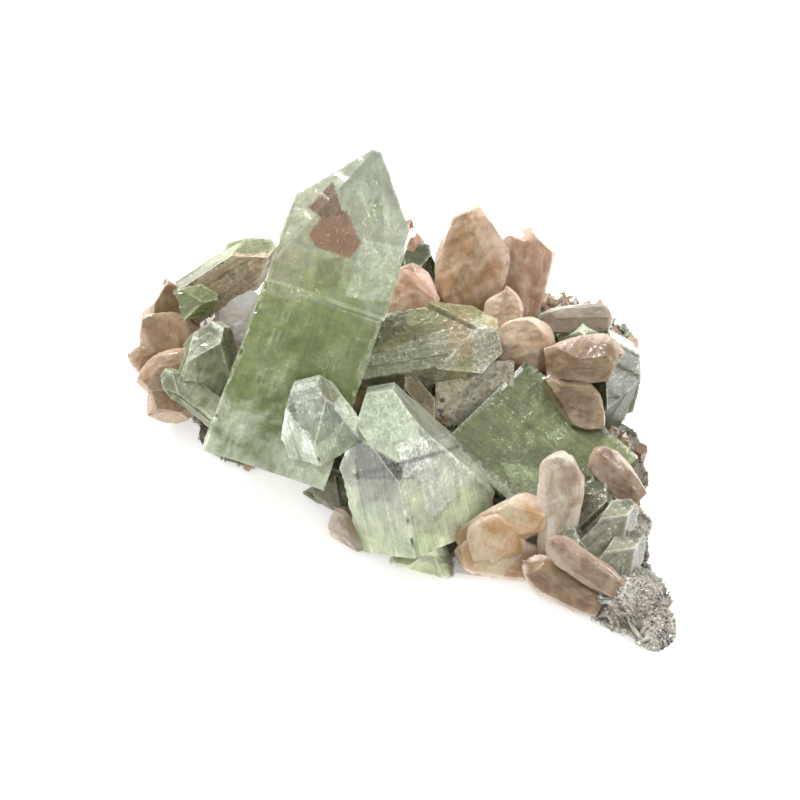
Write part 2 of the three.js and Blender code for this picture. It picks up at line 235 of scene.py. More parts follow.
def rock_grid():
    """Polar grid over the rock. Along each bearing the rim is where the furthest swelling ends;
    inside it the top is the highest swelling, and outside it a wall drops to the flat underside."""
    bearing = np.linspace(0, 2 * np.pi, ROCK_AROUND, endpoint=False)
    way = np.stack([np.cos(bearing), np.sin(bearing)], -1)
    offset = (ROCK_MIDDLE - SWELLINGS[:, :2])[None]
    scaled_way = way[:, None] / SWELLINGS[None, :, 3:5]
    scaled_off = offset / SWELLINGS[None, :, 3:5]
    a = (scaled_way ** 2).sum(-1)
    b = (scaled_way * scaled_off).sum(-1)
    c = (scaled_off ** 2).sum(-1) - 1
    inside = b * b - a * c
    reach = np.where(inside > 0, (-b + np.sqrt(np.maximum(inside, 0))) / a, 0).max(1)
    top = np.cos(np.linspace(0.012, 1, ROCK_ROWS)[::-1] * np.pi / 2)
    share = np.concatenate([top, np.ones(WALL_ROWS), [0.94, 0.8, 0.5, 0.15]])
    plan = ROCK_MIDDLE + share[:, None, None] * reach[None, :, None] * way[None]
    level = (plan[:, :, None] - SWELLINGS[:, :2]) / SWELLINGS[:, 3:5]
    dome = np.sqrt(np.maximum(1 - (level ** 2).sum(-1), 0))
    height = (SWELLINGS[:, 2] * (dome > 0) + SWELLINGS[:, 5] * dome).max(-1)
    rim = np.maximum(height[ROCK_ROWS - 6], 1)
    wall = np.linspace(1, 0, WALL_ROWS + 1)[1:]
    height[ROCK_ROWS - 3:ROCK_ROWS] = np.maximum(height[ROCK_ROWS - 3:ROCK_ROWS], rim)
    height[ROCK_ROWS:ROCK_ROWS + WALL_ROWS] = rim * wall[:, None]
    height[ROCK_ROWS + WALL_ROWS:] = 0
    return np.concatenate([plan, height[..., None]], -1)


bare_rock = rock_grid()
free = np.clip(bare_rock[..., 2:] / SMOOTH_BELOW, 0, 1)
rise = ripple(bare_rock, ROCK_WAVE, ROCK_ROUGH, 3)[..., None] - ROCK_SUNK
rough_rock = bare_rock + outward(bare_rock) * rise * free
rough_rock = np.clip(rough_rock + ZERO, *(solid_box * METRE))
rock_skin = rock_finish("sugary_rock", "b5b1a7", "9b9485", "77736a")
rock = closed_skin("rock", [rough_rock], rock_skin)
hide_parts("matrix")


# ---- the crust on the rock
# Druse: thousands of tiny blocky crystals that coat the rock wherever it shows. Each is a
# six-sided prism with a point, stood on the surface and leaned at random.
SUGAR_LEAN = 0.45  # spread of each axis against the surface's normal
BARE_BELOW = 0.25  # mm above the floor
BOX_EDGE = 0.02  # mm kept free inside the solids' box


def sugar(name, surface, count, sizes, finish, seed, keep):
    """Many small crystals as one piece: one prism's corners, scaled, turned to the surface's
    normal at a random spot where keep allows it, and leaned by a random amount."""
    chance = np.random.default_rng(seed)
    spots = surface.reshape(-1, 3)
    ways = outward(surface).reshape(-1, 3)
    area = np.linalg.norm(np.gradient(surface, axis=0), axis=-1) * np.linalg.norm(
        np.roll(surface, -1, 1) - surface, axis=-1)
    weight = (area * (surface[..., 2] > BARE_BELOW)).ravel() * keep(spots)
    chosen = chance.choice(len(spots), size=count, p=weight / weight.sum())
    up = ways[chosen] + chance.normal(size=(count, 3)) * SUGAR_LEAN
    up /= np.linalg.norm(up, axis=-1, keepdims=True)
    side = np.cross(up, chance.normal(size=(count, 3)))
    side /= np.linalg.norm(side, axis=-1, keepdims=True)
    other = np.cross(up, side)
    turn = np.arange(6) * np.pi / 3
    ring = np.stack([np.cos(turn), np.sin(turn), np.zeros(6)], -1)
    corners = np.concatenate([ring * 0.5 - [0, 0, 0.5], ring * 0.42 + [0, 0, 0.45], [[0, 0, 0.85]]])
    size = chance.uniform(*sizes, size=(count, 1, 1))
    stretch = chance.uniform(0.7, 1.5, size=(count, 1))
    points = spots[chosen][:, None] + size * (
        corners[None, :, :1] * side[:, None] + corners[None, :, 1:2] * other[:, None]
        + (corners[None, :, 2] * stretch)[..., None] * up[:, None])
    near = np.arange(6)
    far = (near + 1) % 6
    walls = np.concatenate([np.stack([near, far, far + 6], -1),
                            np.stack([near, far + 6, near + 6], -1)])
    roof = np.stack([near + 6, far + 6, np.full(6, 12)], -1)
    under = np.array([[0, 2, 1], [0, 3, 2], [0, 4, 3], [0, 5, 4]])
    one = np.concatenate([walls, roof, under])
    faces = (one[None] + 13 * np.arange(count)[:, None, None]).reshape(-1, 3)
    points = np.clip(points, solid_box[0] * METRE + BOX_EDGE, solid_box[1] * METRE - BOX_EDGE)
    mesh = bpy.data.meshes.new(name)
    mesh.from_pydata((points.reshape(-1, 3) / METRE).tolist(), [], faces.tolist())
    placed(name, mesh, finish)


def druse_finish(name, pale, warm, clear):
    """Tiny glassy crystals, milky white to faintly warm by patches, some of them nearly clear."""
    finish, tree, shader, _ = new_finish(name)
    place = add_node(tree, "TexCoord").outputs["Object"]
    patches = noise(tree, place, 240, 3)
    single = noise(tree, place, 1400, 1)
    tint = blend(tree, ramp(tree, patches, 0.38, 0.6), warm, pale)
    shade = ramp(tree, single, 0.3, 0.7, 0.8, 1.15)
    feed(tree, shader, {
        "Base Color": blend(tree, 1, tint, shade, "MULTIPLY"),
        "Transmission Weight": ramp(tree, single, 0.35, 0.65, 0, clear), "Roughness": 0.2,
        "IOR": 1.54, "Subsurface Weight": 0.3, "Subsurface Radius": (0.001, 0.0009, 0.0007)})
    return finish


def patch(p, x, y, spread):
    """How much of a place on the plan belongs to a round patch, fading out from its middle."""
    return np.exp(-((p[:, 0] - x) ** 2 + (p[:, 1] - y) ** 2) / spread)


def dark_finish():
    """Dull near-black grains, some of them grey."""
    finish, tree, shader, _ = new_finish("dark_bits")
    place = add_node(tree, "TexCoord").outputs["Object"]
    feed(tree, shader, {"Base Color": blend(tree, noise(tree, place, 1200), "1d1e1d", "55554f"),
                        "Roughness": 0.5})
    return finish


everywhere = lambda p: 1
on_tail = lambda p: np.clip((-p[:, 1] - 8) / 4, 0.02, 1)
dark_spots = lambda p: patch(p, 34.6, -29.6, 1.6) + 0.5 * patch(p, 31.6, 1, 5)
rear_right = lambda p: np.exp(-((p[:, 0] - 23) / 7) ** 2 - ((p[:, 1] - 19) / 5) ** 2)
between = lambda p: (p[:, 1] > -10) * np.clip(p[:, 2] / 3, 0, 1) + 5 * rear_right(p)
white_druse = druse_finish("white_druse", "bab6ae", "9d9487", 0.6)
tail_druse = druse_finish("tail_druse", "b6b1a8", "a0988c", 0.25)
clear_druse = druse_finish("clear_druse", "b5bba3", "8f9476", 0.8)
warm_druse = druse_finish("warm_druse", "b59c86", "927a60", 0.2)
for name, count, sizes, finish, seed, keep in (
        ("crust", 8800, (0.2, 0.55), white_druse, 11, everywhere),
        ("tail_crust", 9000, (0.15, 0.5), tail_druse, 12, on_tail),
        ("dark_bits", 60, (0.25, 0.6), dark_finish(), 5, dark_spots),
        ("clear_bits", 380, (0.7, 1.8), clear_druse, 17, between),
        ("warm_bits", 520, (0.8, 2.2), warm_druse, 19, between)):
    sugar(name, rough_rock, count, sizes, finish, seed, keep)


# ---- the rear stilbites
# Stilbite: peach, pearly sheaves of thin blades grown side by side, so that each broad face is
# finely ribbed along its length and the top is a gothic arch, here standing along the rear edge.
FOOT = 0.95  # mm, the lowest level of any crystal's root
NEARLY_LEVEL = 0.15  # rise of an axis for each mm along it
BLADE_AROUND, BLADE_ROWS = 112, 92
BLADE_EDGE = 0.6  # mm, how far in an edge looks worn
BLADE_FOOT = 0.68  # a blade's width at its foot, as a share of its widest
STILBITE_SHARP = 12  # degrees between faces, from which an edge is drawn
BREAKS, BITE = 12, 0.18  # flat breaks to a blade, and their depth to its width


def standing(points, tip, lean, toward, turn):
    """Points of a crystal drawn with its tip at zero and its axis up: turned about the axis,
    leaned over towards a bearing, then set at its tip. Those below the foot level slide back up
    the axis, unless it lies nearly level."""
    spin, over, bearing = (math.radians(angle) for angle in (turn, lean, toward))
    about = np.array([[math.cos(spin), -math.sin(spin), 0],
                      [math.sin(spin), math.cos(spin), 0], [0, 0, 1]])
    k = np.array([-math.sin(bearing), math.cos(bearing), 0])
    cross = np.array([[0, -k[2], k[1]], [k[2], 0, -k[0]], [-k[1], k[0], 0]])
    tilt = np.eye(3) + math.sin(over) * cross + (1 - math.cos(over)) * cross @ cross
    stood = points @ (tilt @ about).T + np.array(tip)
    axis = tilt @ about @ [0, 0, 1]
    if axis[2] > NEARLY_LEVEL:
        stood = stood + np.maximum(FOOT - stood[..., 2:], 0) * axis / axis[2]
    return np.maximum(stood, [-np.inf, -np.inf, FOOT]) + ZERO


def arch(half, length, point, depth):
    """Half width of a blade at a depth below its tip, along two quadratic arcs, each with a start,
    a pull and an end: one out to the full width at point, and one in to BLADE_FOOT of it."""
    s = np.linspace(0, 1, 60)
    arc = lambda start, pull, end: (1 - s) ** 2 * start + 2 * s * (1 - s) * pull + s * s * end
    wide = np.r_[arc(0, 0.82 * half, half), arc(half, 1.04 * half, BLADE_FOOT * half)[1:]]
    deep = np.r_[arc(0, 0.35 * point, point), arc(point, 0.62 * length, length)[1:]]
    return np.interp(depth, deep, wide)


def sliced(grid, bite, seed):
    """Flat breaks: random planes, each set a little inside the furthest point in its direction,
    and every point beyond one is drawn in towards the axis until it lies on the plane."""
    chance = np.random.default_rng(seed)
    for _ in range(BREAKS):
        normal = chance.normal(size=3) * [1, 0.6, 0.42]
        normal /= np.linalg.norm(normal)
        out = grid @ normal
        edge = out.max() - chance.uniform(0.3, 1) * bite
        side = grid[..., :2] @ normal[:2]
        room = (edge - grid[..., 2] * normal[2]) / np.where(np.abs(side) < 1e-6, 1e-6, side)
        share = np.where((out > edge) & (side > 0), np.clip(room, 0.25, 1), 1)
        grid = grid * np.stack([share, share, np.ones_like(share)], -1)
    return grid


def blade_grid(width, depth, length, point, seed):
    """A blade about its axis. Its section is a flat ten-sided outline with a low ridge down each
    broad face; at each depth the half sizes come from the front arch and from a much shorter
    one, which makes the chisel edge. Fine ribs run lengthwise and the tip ends in small steps.
    A fourth value marks how near each point is to the outline."""
    chance = np.random.default_rng(seed)
    s = np.linspace(0, 1, BLADE_ROWS) ** 1.3
    ridge, back = chance.uniform(-0.45, 0.45, 2)
    thick_at = np.array([0.34, 0.76, 1, 0.72, 0.32, -0.34, -0.76, -1, -0.74, -0.34, 0.34])
    wide_at = np.array([-1, -0.8, ridge, 0.84, 1, 1, 0.8, back, -0.82, -1, -1])
    run = np.r_[0, np.cumsum(np.hypot(np.diff(thick_at) * 0.6, np.diff(wide_at)))]
    stops = np.linspace(0, run[-1], BLADE_AROUND, endpoint=False)
    thick, wide = np.interp(stops, run, thick_at), np.interp(stops, run, wide_at)
    down = (s * length)[:, None]
    half_wide = arch(width / 2, length, point, down + 0.03 * point)
    half_thick = 0.16 * depth + 0.68 * arch(depth / 2, length, 0.5 * point, down)
    lane = wide[None] * (1 - 0.1 * down / length) + 0.03 * np.sin(down * 1.1 + seed)
    ribs = np.zeros((BLADE_ROWS, BLADE_AROUND))
    for edge in chance.uniform(-0.9, 0.9, 9):
        ribs += chance.uniform(-0.03, 0.03) * np.tanh((lane - edge) / 0.012)
    for _ in range(3):
        ribs += 0.006 * np.sin(lane * chance.uniform(30, 80) + chance.uniform(0, 6))
    x = half_thick * thick + ribs * np.sign(thick)[None] * np.minimum(np.abs(thick) * 2, 1)[None]
    y = half_wide * wide
    steps = sum(chance.uniform(-1, 1) * np.tanh((lane - edge) / 0.02)
                for edge in chance.uniform(-0.8, 0.8, 5))
    drop = 0.07 * np.maximum(steps, 0) * np.exp(-down / (0.5 * point + 0.4)) * (np.abs(lane) > 0.12)
    grid = sliced(np.stack([x, y, -down - drop], -1), BITE * width, seed + 2)
    uneven = ripple(grid, 5, 0.04, seed + 1) + ripple(grid, 0.8, 0.006, seed + 5)
    inset = np.minimum((1 - np.abs(lane)) * half_wide, down)
    rim = np.exp(-(np.maximum(inset, 0) / BLADE_EDGE) ** 2)
    bumps = (uneven * np.clip(down, 0.1, 1))[..., None]
    return np.concatenate([grid + outward(grid) * bumps, rim[..., None]], -1)


def sums(how):
    """A step of arithmetic on two values, held between 0 and 1 if wanted."""
    return lambda tree, first, second=0.5, held=False: add_node(
        tree, "Math", {0: first, 1: second}, operation=how, use_clamp=held).outputs[0]


plus, minus, times, larger, unsigned = map(
    sums, ("ADD", "SUBTRACT", "MULTIPLY", "MAXIMUM", "ABSOLUTE"))


def stretched(tree, place, scale, shift=(0, 0, 0)):
    """A place moved and stretched, so that what is drawn on it runs long in one direction."""
    inputs = {"Vector": place, "Location": shift, "Scale": scale}
    return add_node(tree, "Mapping", inputs).outputs[0]


def drawn_places(tree, *shift):
    """The place on a crystal as it was drawn, that place moved, and how near it is to an edge."""
    lattice = add_node(tree, "Attribute", attribute_name="lattice").outputs["Vector"]
    rim = add_node(tree, "Attribute", attribute_name="rim").outputs["Fac"]
    return lattice, stretched(tree, lattice, (1, 1, 1), shift), rim


def stilbite_finish(name, peach, pale, seed, edge="dfcdbe"):
    """Peach body with paler clouds, pale along its outline, with silky lengthwise threads in
    colour, gloss and bump, rubbed white in spots, and light carried well in under a pearly coat."""
    finish, tree, shader, _ = new_finish(name)
    _, moved, rim = drawn_places(tree, seed, seed * 2.1, seed * 0.7)
    threads = noise(tree, stretched(tree, moved, (5, 5, 0.4)), 1.6, 4)
    clouds = noise(tree, moved, 0.3, 5, 0.6, 0.6)
    crumbs = noise(tree, moved, 2.6, 6, 0.72)
    mixed = plus(tree, times(tree, threads, 0.16), times(tree, clouds, 0.84))
    body = blend(tree, ramp(tree, mixed, 0.36, 0.64), peach, pale)
    wear_and_highlight = times(tree, rim, ramp(tree, crumbs, 0.3, 0.6, 0.2, 0.7))
    rubbed = ramp(tree, plus(tree, crumbs, times(tree, clouds, 0.5)), 0.86, 1, 0, 0.4)
    light = larger(tree, wear_and_highlight, rubbed)
    grain = ramp(tree, noise(tree, moved, 7, 5, 0.75), 0.32, 0.68, 0.88, 1.1)
    edged = blend(tree, light, body, edge)
    feed(tree, shader, {
        "Base Color": blend(tree, 1, edged, grain, "MULTIPLY"),
        "Roughness": ramp(tree, threads, 0.3, 0.7, 0.28, 0.55),
        "Normal": relief(tree, (threads, 0.25, 0.0001), (crumbs, 0.3, 0.00012)),
        "Subsurface Weight": 1, "Subsurface Radius": (0.004, 0.0028, 0.002),
        "IOR": 1.5, "Coat Weight": 0.5, "Coat Roughness": 0.12})
    return finish


def grow_stilbite(name, node, finish, seed, *blades):
    """One piece for a blade or a fan of blades, and the CAD node, if any, that it stands for. Each
    blade has its tip, its lean, bearing and turn, its width, depth and length, and how far down
    its front arch reaches."""
    drawn = [blade_grid(*blade[4:], seed + 7 * k) for k, blade in enumerate(blades)]
    stood = [standing(grid[..., :3], *blade[:4]) for grid, blade in zip(drawn, blades)]
    made = closed_skin(name, stood, finish, STILBITE_SHARP, drawn)
    if node:
        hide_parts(node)


warm_peach = stilbite_finish("warm_peach", "a07c57", "c3ad93", 3)
dusky_peach = stilbite_finish("dusky_peach", "9b765b", "bda48f", 8)
grow_stilbite("rear_tall_blade", "rear_tall_stilbite", warm_peach, 21,
    ((10.4, 15.8, 22), 30, 83, -100, 10.4, 5.6, 19, 7))
grow_stilbite("rear_right_blade", "rear_right_stilbite", dusky_peach, 22,
    ((17.5, 14.7, 18.5), 36, 70, -85, 8, 4.8, 17, 3))
grow_stilbite("rear_middle_blade", "rear_middle_stilbite", dusky_peach, 23,
    ((1.6, 17.5, 17), 40, 84, -92, 6.4, 4.2, 14, 4))
deep_peach = stilbite_finish("deep_peach", "976341", "a87a54", 14)
grow_stilbite("behind_tall_blades", "behind_tall_stilbite", deep_peach, 24,
    ((-9.2, 18.9, 22), 35, 90, -90, 5.4, 3.2, 20, 5),
    ((-7.2, 17.7, 19), 36, 73, -96, 8, 4.6, 17, 5))
grow_stilbite("rear_low_blade", "rear_low_stilbite", dusky_peach, 25,
    ((1.6, 10.4, 16), 48, 90, -90, 7.4, 4.4, 10, 3))


# ---- the right-hand stilbites
# Shorter, blunter sheaves packed between the green crystals on the right, a little pinker and
# rubbed pale, two of them standing in front of the wide green crystal.
rose_peach = stilbite_finish("rose_peach", "9d7d5c", "c1ae97", 31)
straw_peach = stilbite_finish("straw_peach", "7a6c5e", "928674", 37, "aaa294")
dim_peach = stilbite_finish("dim_peach", "765b42", "9d8a75", 40, "b59f8d")
rubbed_peach = stilbite_finish("rubbed_peach", "907a5e", "bfb7a7", 43)
rusty_peach = stilbite_finish("rusty_peach", "70543a", "927e60", 46)
shadow_peach = stilbite_finish("shadow_peach", "6c5338", "907e61", 48, "a89c84")
grow_stilbite("upper_middle_blade", "upper_middle_stilbite", rose_peach, 31,
    ((17.2, 1.3, 15.5), 26, 73, -95, 7.4, 5.4, 13, 2.6))
grow_stilbite("small_middle_blade", "small_middle_stilbite", rose_peach, 32,
    ((14.1, 6.2, 16), 30, 81, -93, 5.2, 4, 11, 3))
grow_stilbite("right_round_blade", "right_round_stilbite", rusty_peach, 33,
    ((29.6, -4.2, 14.2), 82, 2, -138, 6.4, 6.4, 10.5, 2.6))
grow_stilbite("right_low_blade", "right_low_stilbite", shadow_peach, 34,
    ((26.8, -11.6, 8.2), 112, -38, 171, 6.2, 5, 10, 5))
grow_stilbite("right_flat_blade", "right_blade_stilbite", straw_peach, 35,
    ((28.3, 2.5, 13.8), 88, 0, -138, 4.2, 3.4, 10, 1.6))
grow_stilbite("upright_blade", "upright_stilbite", rubbed_peach, 36,
    ((21.1, -20.7, 14.5), 36, 82, -93, 6, 4.2, 14, 2.4))
grow_stilbite("edge_blade", "edge_stilbite", dim_peach, 37,
    ((25, -18.3, 12), 55, 144, -67, 4.6, 3, 9, 2))


# ---- the front stilbites
# Low sheaves that spill over the front edge: an orange fan beside the blunt crystal, a long
# pink blade lying across the tail, and small ends under the crystals.
orange_peach = stilbite_finish("orange_peach", "a07c50", "bdae93", 51)
grow_stilbite("front_sheaf", "front_sheaf_stilbite", orange_peach, 48,
    ((19.2, -24.9, 8), 63, 9, -129, 6.4, 5.4, 13, 3),
    ((13.5, -25.4, 7.8), 36, 73, -96, 8.4, 5.2, 8.6, 3),
    ((7.1, -28.2, 3.4), 80, 176, -44, 5.6, 5, 13, 3))
grow_stilbite("long_blade", "long_blade_stilbite", dim_peach, 42,
    ((18.7, -30.5, 8.5), 62, 157, -60, 3.8, 3.4, 14, 2.4))
grow_stilbite("low_front_blade", "low_front_stilbite", rusty_peach, 43,
    ((15.7, -30.2, 3.9), 76, 152, -62, 5.4, 4.4, 12, 4))
grow_stilbite("under_left_blade", "under_left_stilbite", rubbed_peach, 44,
    ((-8.5, -21.6, 3.8), 49, 138, -71, 7, 4.6, 11, 4))
shaded_peach = stilbite_finish("shaded_peach", "786239", "988557", 57)
grow_stilbite("shaded_middle_blade", "shaded_middle_stilbite", shaded_peach, 45,
    ((-4.5, -3.8, 11.5), 30, 99, -87, 5.6, 4, 8, 3))


# ---- the left stilbites
# A spread fan at the left end with its blades pointing outwards, and beside the tall crystal a
# near-white face where a blade broke away, pale in its own colour and lightened further as painted
# light against the shade it stands in.
fan_peach = stilbite_finish("fan_peach", "80603e", "9d866b", 61, "cdb7a0")
grow_stilbite("left_fan", "left_fan_stilbite", fan_peach, 51,
    ((-31.4, 9.6, 14), 42, 94, -88, 8.4, 5.6, 16, 5),
    ((-36.4, 1.3, 8), 83, 179, -41, 7.6, 5.4, 15, 4),
    ((-34.4, 5, 11.5), 58, 150, -64, 8, 5, 16, 5),
    ((-33.6, -5.8, 3.6), 112, -152, -6, 7, 5, 13, 4),
    ((-35.2, -2, 6.4), 99, -175, -35, 6.4, 4.6, 13, 4))
# painted light: this near-white is lightened beyond the break's own colour to make up for shade
pale_painted_lit_break = stilbite_finish("pale_painted_lit_break", "f0e2da", "fbf7f4", 67, "fdfcfa")
grow_stilbite("white_left_blade", "white_left_stilbite", pale_painted_lit_break, 52,
    ((-21.3, 9.5, 13.9), 40, 82, -93, 6.4, 3.6, 10, 2))


# ---- the tall crystal
# Apophyllite: a square prism with a four-sided point, glassy, water-clear at the tip and cloudy
# green lower down, rooted in the rock and leaning back to the right.
POINT_FALL = 1.245  # of a pyramid face, for each step along x or y
SHORTEST_SIDE = 0.3  # mm, between a point's lowest corner and the foot
END_ROWS = 7
FAR = 9  # mm, beyond the reach of any edge
CRYSTAL_EDGE = 0.22  # mm, how far in an edge looks worn and is painted with a highlight
APOPHYLLITE_SHARP = 16  # degrees


def apophyllite_grid(wide_x, wide_y, length, cap, seed, side, fall, drop, flare=0, steep=0,
                     off=(0, 0), ledge=0.1):
    """One crystal about its axis, tip at zero. Columns are points along the four sides of the
    square section. Out from the middle the height is the lowest of the flat end, the point, which
    falls by POINT_FALL for each step along x or y, and the steep front face; then it drops to the
    foot. Growth ledges are small steps in each side at fixed shares of its width, and a fourth
    value marks how near each point is to an edge."""
    chance = np.random.default_rng(seed)
    half_x, half_y = wide_x / 2, wide_y / 2
    s = np.linspace(-1, 1, side, endpoint=False)
    full = np.ones(side)
    edge = np.stack([np.r_[full, -s, -full, s] * half_x, np.r_[s, full, -s, -full] * half_y], -1)
    edge = edge + np.array(off)
    front = math.tan(math.radians(steep))
    slope = lambda p: np.maximum(POINT_FALL * np.abs(p).sum(-1), front * p[..., 0])
    shoulder = slope(edge * (1 + flare * slope(edge) / length)[:, None])
    longest = length - SHORTEST_SIDE
    reach = np.minimum(1, longest / shoulder)
    inner = np.minimum(cap / shoulder, 0.985 * reach)
    lowest = np.maximum(np.minimum(shoulder, longest), cap + 0.02)
    end_rows = np.linspace(0.06, 1, END_ROWS)[:, None]
    point_rows = np.linspace(0, 1, fall)[1:, None]
    side_rows = np.linspace(0, 1, drop)[1:, None]
    share = np.concatenate([inner * end_rows, inner + (reach - inner) * point_rows,
                            reach + 0 * side_rows])
    deep = np.concatenate([cap + 0 * inner * end_rows, cap + (lowest - cap) * point_rows,
                           lowest + (length - lowest) * side_rows])
    place = np.tile(s, 4)[None] + 0.02 * np.sin(deep * 0.7 + seed)
    ledges = np.zeros_like(deep)
    for k in range(4):
        on_side = np.repeat(np.arange(4) == k, side)[None]
        for at in chance.uniform(-0.8, 0.8, 5):
            step = np.tanh((place - at + 0.004 * deep) / 0.012)
            ledges += on_side * chance.uniform(-ledge, ledge) * step
    ledges -= ledges.max()
    edge_wear = 0.35 * np.clip(np.abs(place) - 0.965, 0, 1) / 0.035
    chips = np.clip(ripple(np.stack([deep, place * 3, 0 * deep], -1), 2.6, 0.5, seed + 2), 0, 1)
    wall = np.clip((deep - lowest) / 0.6, 0, 1) * (share >= reach - 1e-6)
    shrink = (np.maximum(ledges, -0.45) * wall - edge_wear * chips * wall) / min(half_x, half_y)
    grow = 1 + flare * deep / length * (share >= reach - 1e-6) + shrink
    plan = edge[None] * (share * grow)[..., None]
    grid = np.concatenate([plan, -deep[..., None]], -1)
    terrace = 0.05 * np.tanh(np.sin(deep * chance.uniform(1.4, 2.2) + chance.uniform(0, 6)) / 0.08)
    faint = ripple(grid, 5, 0.012, seed + 3) + terrace * (1 - wall) * (deep > cap + 0.3) * 0.5
    ridge = np.abs(plan).min(-1) + FAR * (plan[..., 0] * front > 0.92 * deep - 0.3)
    crown = np.minimum(ridge, deep - cap) * (share < reach) + FAR * (share >= reach)
    corner = (1 - np.abs(place)) * min(half_x, half_y) + FAR * (share < reach)
    inset = np.minimum(np.minimum(crown, corner), np.abs(deep - lowest) + steep)
    rim = np.exp(-(np.maximum(inset, 0) / CRYSTAL_EDGE) ** 2)
    return np.concatenate([grid + outward(grid) * faint[..., None], rim[..., None]], -1)


def along(tree, place, way):
    """How far a place lies along a direction."""
    return add_node(tree, "VectorMath", {0: place, 1: list(way)},
                    operation="DOT_PRODUCT").outputs["Value"]


def apophyllite_finish(name, clear, cloud, mist, milk, seed, end=0, pearl=0.6, density=12,
                       tint=(0.72, 0.8, 0.5), fog=0.85, frost=0.6, bands=0.4, glints=0.5,
                       streak=0.5, shards=0.4, spread=(-14, -2), hackle=0.3, root=(90, 99),
                       gloss=0.7, sectors=()):
    """Crystal that is clear above milk[0] mm below the tip and clouds over towards milk[1], by
    frost and fog as shares of light stopped, with a pearly flat end down to the depth end. Clouds,
    level bands, lengthwise streaks and flat inner planes vary it, edges are white as wear and as
    painted highlight, specks are white as painted glints, it pales again over the depths root,
    and the body takes up light by depth. Each sector is a part shut in by flat cracks: its colour,
    how far that covers, how broken it is, the share of light stopped, and a normal and a level for
    each crack. Some sectors are painted glints, painted shade or a painted lit face."""
    finish, tree, shader, output = new_finish(name)
    lattice, moved, rim = drawn_places(tree, seed, seed * 1.7, seed * 0.6)
    depth = times(tree, add_node(tree, "SeparateXYZ", {0: lattice}).outputs[2], -1)
    puffs = noise(tree, moved, 0.2, 6, 0.62, 0.5)
    layers = noise(tree, stretched(tree, moved, (0.06, 0.06, 0.9)), 1, 4)
    streaks = noise(tree, stretched(tree, moved, (3.2, 3.2, 0.12)), 1, 5, 0.65)
    crumbs = noise(tree, moved, 2.2, 7, 0.75)
    shifted = plus(tree, depth, ramp(tree, puffs, 0.25, 0.75, -7, 7))
    where = plus(tree, shifted, ramp(tree, layers, 0.3, 0.7, -6 * bands, 6 * bands))
    cloudy = ramp(tree, where, *milk)
    chance = np.random.default_rng(int(seed))
    plane, seam = 0.5, 0
    for _ in range(5):
        way = chance.normal(size=3) * [1, 1, 0.6]
        way /= np.linalg.norm(way)
        level = chance.uniform(*spread) * way[2] + chance.uniform(-2.5, 2.5)
        far = minus(tree, along(tree, lattice, way), level)
        plane = plus(tree, plane, ramp(tree, far, -0.08, 0.08, -0.2, 0.2))
        seam = larger(tree, seam, ramp(tree, unsigned(tree, far), 0, 0.16, 1, 0))
    crack = times(tree, seam, ramp(tree, crumbs, 0.48, 0.62, 0, 0.7 * shards))
    flat_end = ramp(tree, depth, end + 0.02, end + 0.3, pearl, 0)
    body = blend(tree, cloudy, clear, blend(tree, ramp(tree, puffs, 0.38, 0.62), cloud, mist))
    paled = blend(tree, ramp(tree, shifted, *root, 0, 0.8), body, clear)
    silk = ramp(tree, streaks, 0.3, 0.7, 1 - 0.22 * streak, 1 + 0.18 * streak)
    facet = ramp(tree, plane, 0, 1, 1 - 0.35 * shards, 1 + 0.2 * shards)
    banded = ramp(tree, layers, 0.35, 0.65, 1 - 0.25 * bands, 1 + 0.15 * bands)
    drift = ramp(tree, noise(tree, moved, 0.42, 6, 0.62, 1), 0.3, 0.7, 0.8, 1.2)
    tone = times(tree, times(tree, silk, facet), times(tree, banded, drift))
    toned = blend(tree, 1, paled, tone, "MULTIPLY")
    shut = larger(tree, ramp(tree, cloudy, 0, 1, frost, fog), flat_end)
    shut = plus(tree, shut, ramp(tree, plane, 0.1, 0.9, -0.4 * shards, 0.4 * shards), True)
    wobble = ramp(tree, crumbs, 0.3, 0.7, -0.15, 0.15)
    mottle = times(tree, tone, ramp(tree, crumbs, 0.3, 0.7, 0.86, 1.14))
    for colour, cover, broken, stop, *cracks in sectors:
        within = ramp(tree, crumbs, 0.46, 0.58, 1 - broken, 1)
        for *way, level in cracks:
            far = plus(tree, along(tree, lattice, way), wobble)
            within = times(tree, within, ramp(tree, far, level - 0.2, level + 0.2))
        inner = blend(tree, 1, colour, mottle, "MULTIPLY")
        toned = blend(tree, times(tree, within, cover), toned, inner)
        shut = plus(tree, shut, times(tree, within, minus(tree, stop, shut)))
    # white edges: partly wear, partly a painted edge highlight
    wear_and_highlight = times(tree, rim, ramp(tree, crumbs, 0.35, 0.62, 0.02, 0.42))
    # painted glints: white specks standing for sparkle on the faces
    painted_glints = ramp(tree, plus(tree, crumbs, times(tree, puffs, 0.45)), 0.82, 0.92, 0, glints)
    white = larger(tree, larger(tree, wear_and_highlight, painted_glints), crack)
    stopped = plus(tree, shut, times(tree, white, 0.7), True)
    waves = noise(tree, moved, 0.8, 3, 0.55, 0.4)
    feed(tree, shader, {
        "Base Color": blend(tree, white, toned, "eef2e6"),
        "Transmission Weight": minus(tree, 1, stopped),
        "Roughness": ramp(tree, cloudy, 0, 1, 0.03 + 0.15 * frost, 0.32),
        "Normal": relief(tree, (streaks, 0.2 * streak, 0.0001), (crumbs, 0.12, 0.0001),
                         (waves, hackle, 0.0012)),
        "IOR": 1.535, "Coat Weight": gloss, "Coat Roughness": 0.04,
        "Subsurface Weight": 0.6, "Subsurface Radius": (0.0028, 0.003, 0.0022)})
    inside = add_node(tree, "VolumeAbsorption", {"Color": (*tint, 1), "Density": density})
    tree.links.new(inside.outputs[0], output.inputs["Volume"])
    return finish


